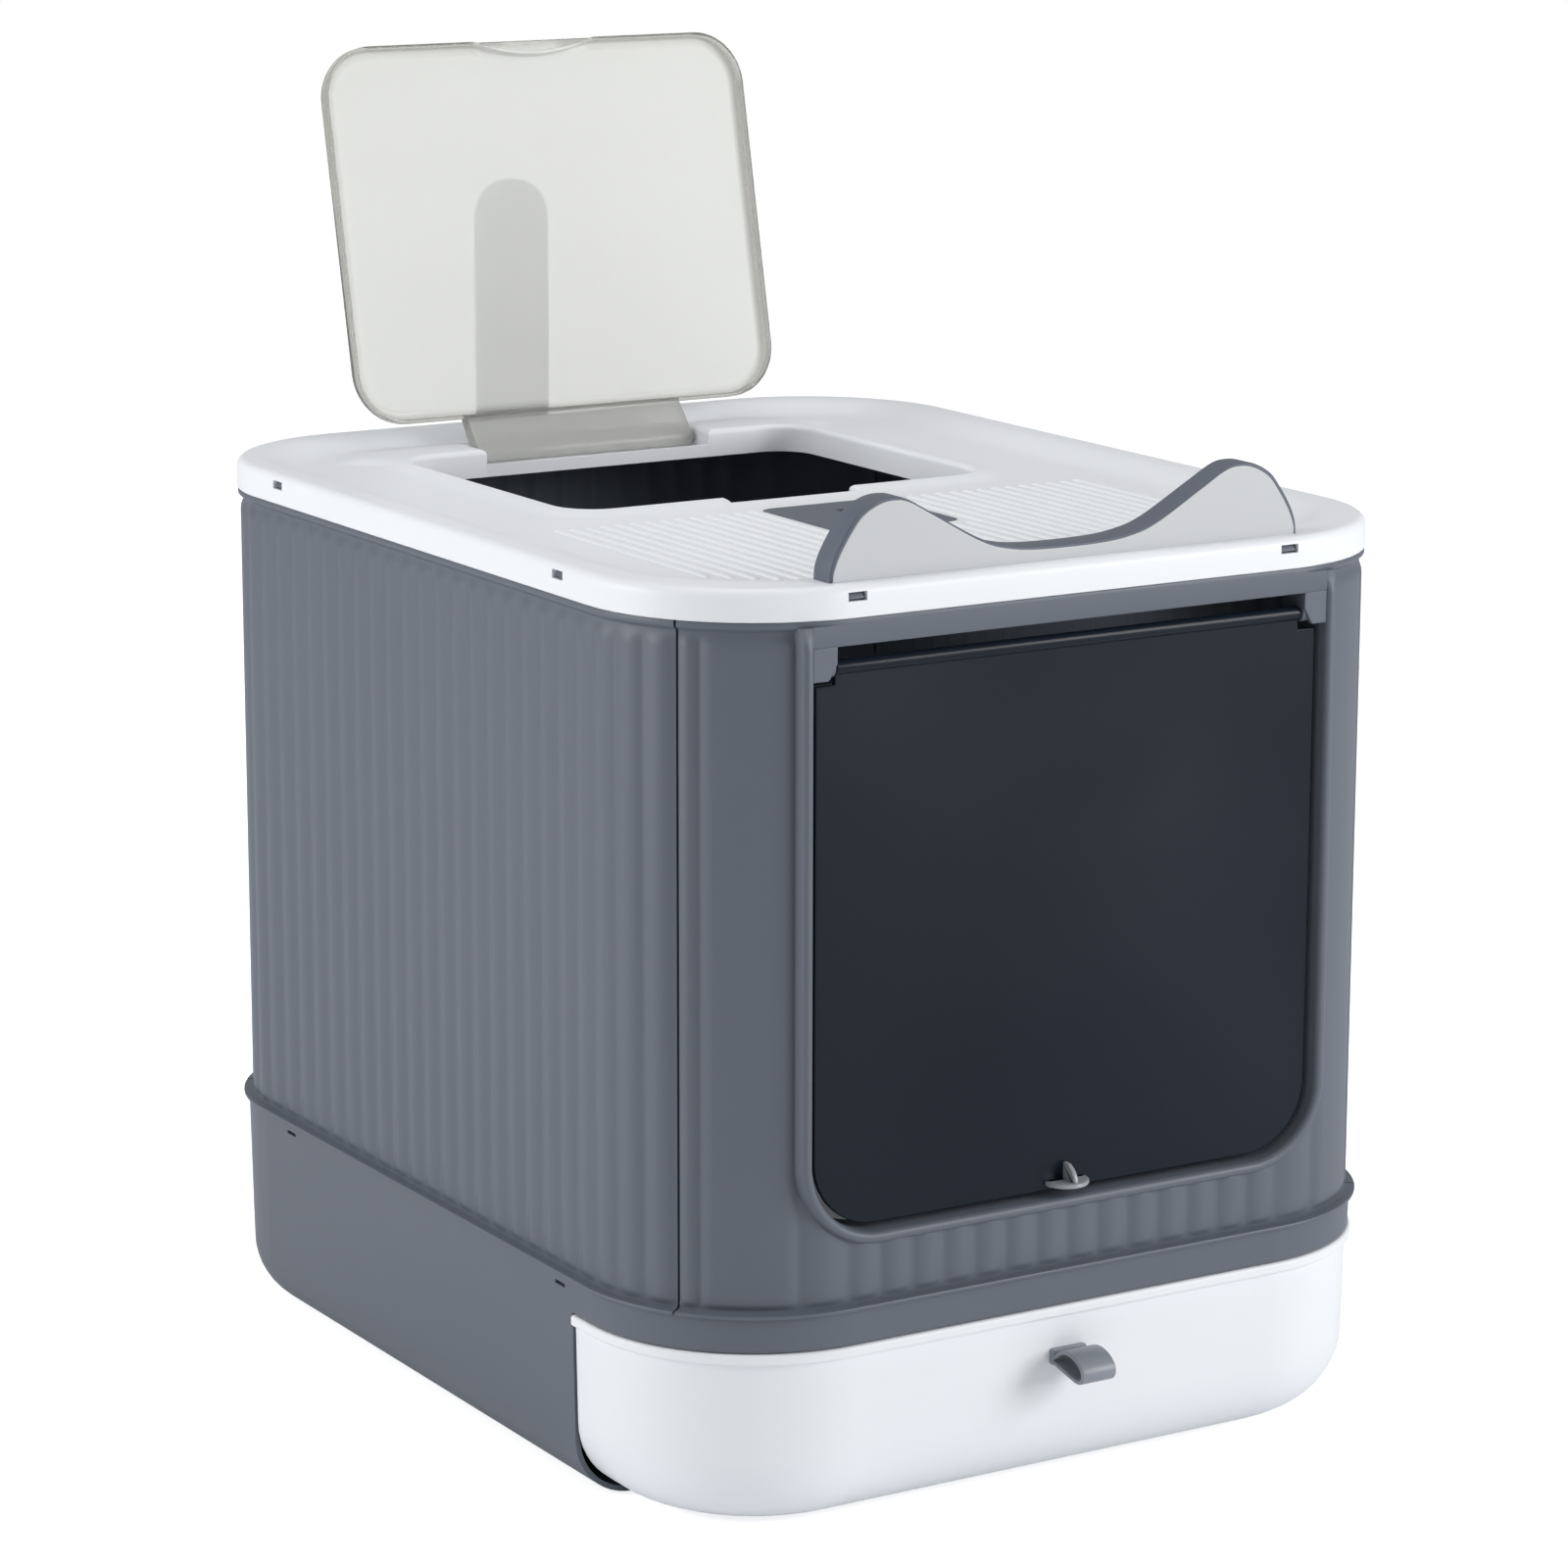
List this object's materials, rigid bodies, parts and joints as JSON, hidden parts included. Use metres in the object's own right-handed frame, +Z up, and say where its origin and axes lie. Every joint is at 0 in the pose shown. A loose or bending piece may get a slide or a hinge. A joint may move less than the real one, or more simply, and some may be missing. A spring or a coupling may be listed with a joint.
{
  "type": "covered litter box",
  "caption": "Enclosed cat litter box with fluted snap-together walls, swinging front flap, hinged clear top lid, pull-out drawer and a scoop on the back.",
  "frame": {"origin": "middle of the base's footprint at floor level, under the closed body's centre", "axes": "+Z up, the front with the flap and drawer faces -Y, +X to the viewer's right when facing the front"},
  "size_m": [0.406, 0.5578, 0.6246],
  "materials": {
    "grey_shell": "satin injection-moulded polypropylene",
    "white_shell": "satin injection-moulded polypropylene",
    "grey_trim": "satin injection-moulded plastic",
    "light_grey_plate": "smooth satin plastic",
    "clear_smoke": "clear lightly tinted moulded plastic",
    "dark_smoke": "gloss dark tinted plastic",
    "clear_grey": "glossy translucent plastic"
  },
  "bodies": {
    "body": {"base": "grey_shell", "front_panel": "grey_shell", "rear_panel": "grey_shell", "left_panel": "grey_shell", "right_panel": "grey_shell", "top_cover": "white_shell", "fence": "grey_trim", "fence_face": "light_grey_plate", "scoop_holder": "grey_trim"},
    "drawer": {"drawer": "white_shell", "drawer_pull": "grey_trim"},
    "lid": {"lid": "clear_smoke"},
    "flap": {"flap": "dark_smoke", "flap_tab": "clear_grey"},
    "insert": {"insert_plate": "grey_trim"},
    "scoop": {"scoop": "grey_trim"}
  },
  "joints": [
    {"name": "lid_hinge", "type": "hinge", "parent": "body", "child": "lid", "pos_m": [0, 0.196, 0.4215], "axis": [1, 0, 0], "range_deg": [0, 102]},
    {"name": "flap_hinge", "type": "hinge", "parent": "body", "child": "flap", "pos_m": [0, -0.2453, 0.3944], "axis": [1, 0, 0], "range_deg": [-60, 60]},
    {"name": "drawer_slide", "type": "slide", "parent": "body", "child": "drawer", "axis": [0, -1, 0], "range_m": [0, 0.4]},
    {"name": "insert_lift", "type": "slide", "parent": "body", "child": "insert", "axis": [0, 0, 1], "range_m": [0, 0.03]},
    {"name": "scoop_lift", "type": "slide", "parent": "body", "child": "scoop", "axis": [0, 0, 1], "range_m": [0, 0.06]}
  ]
}
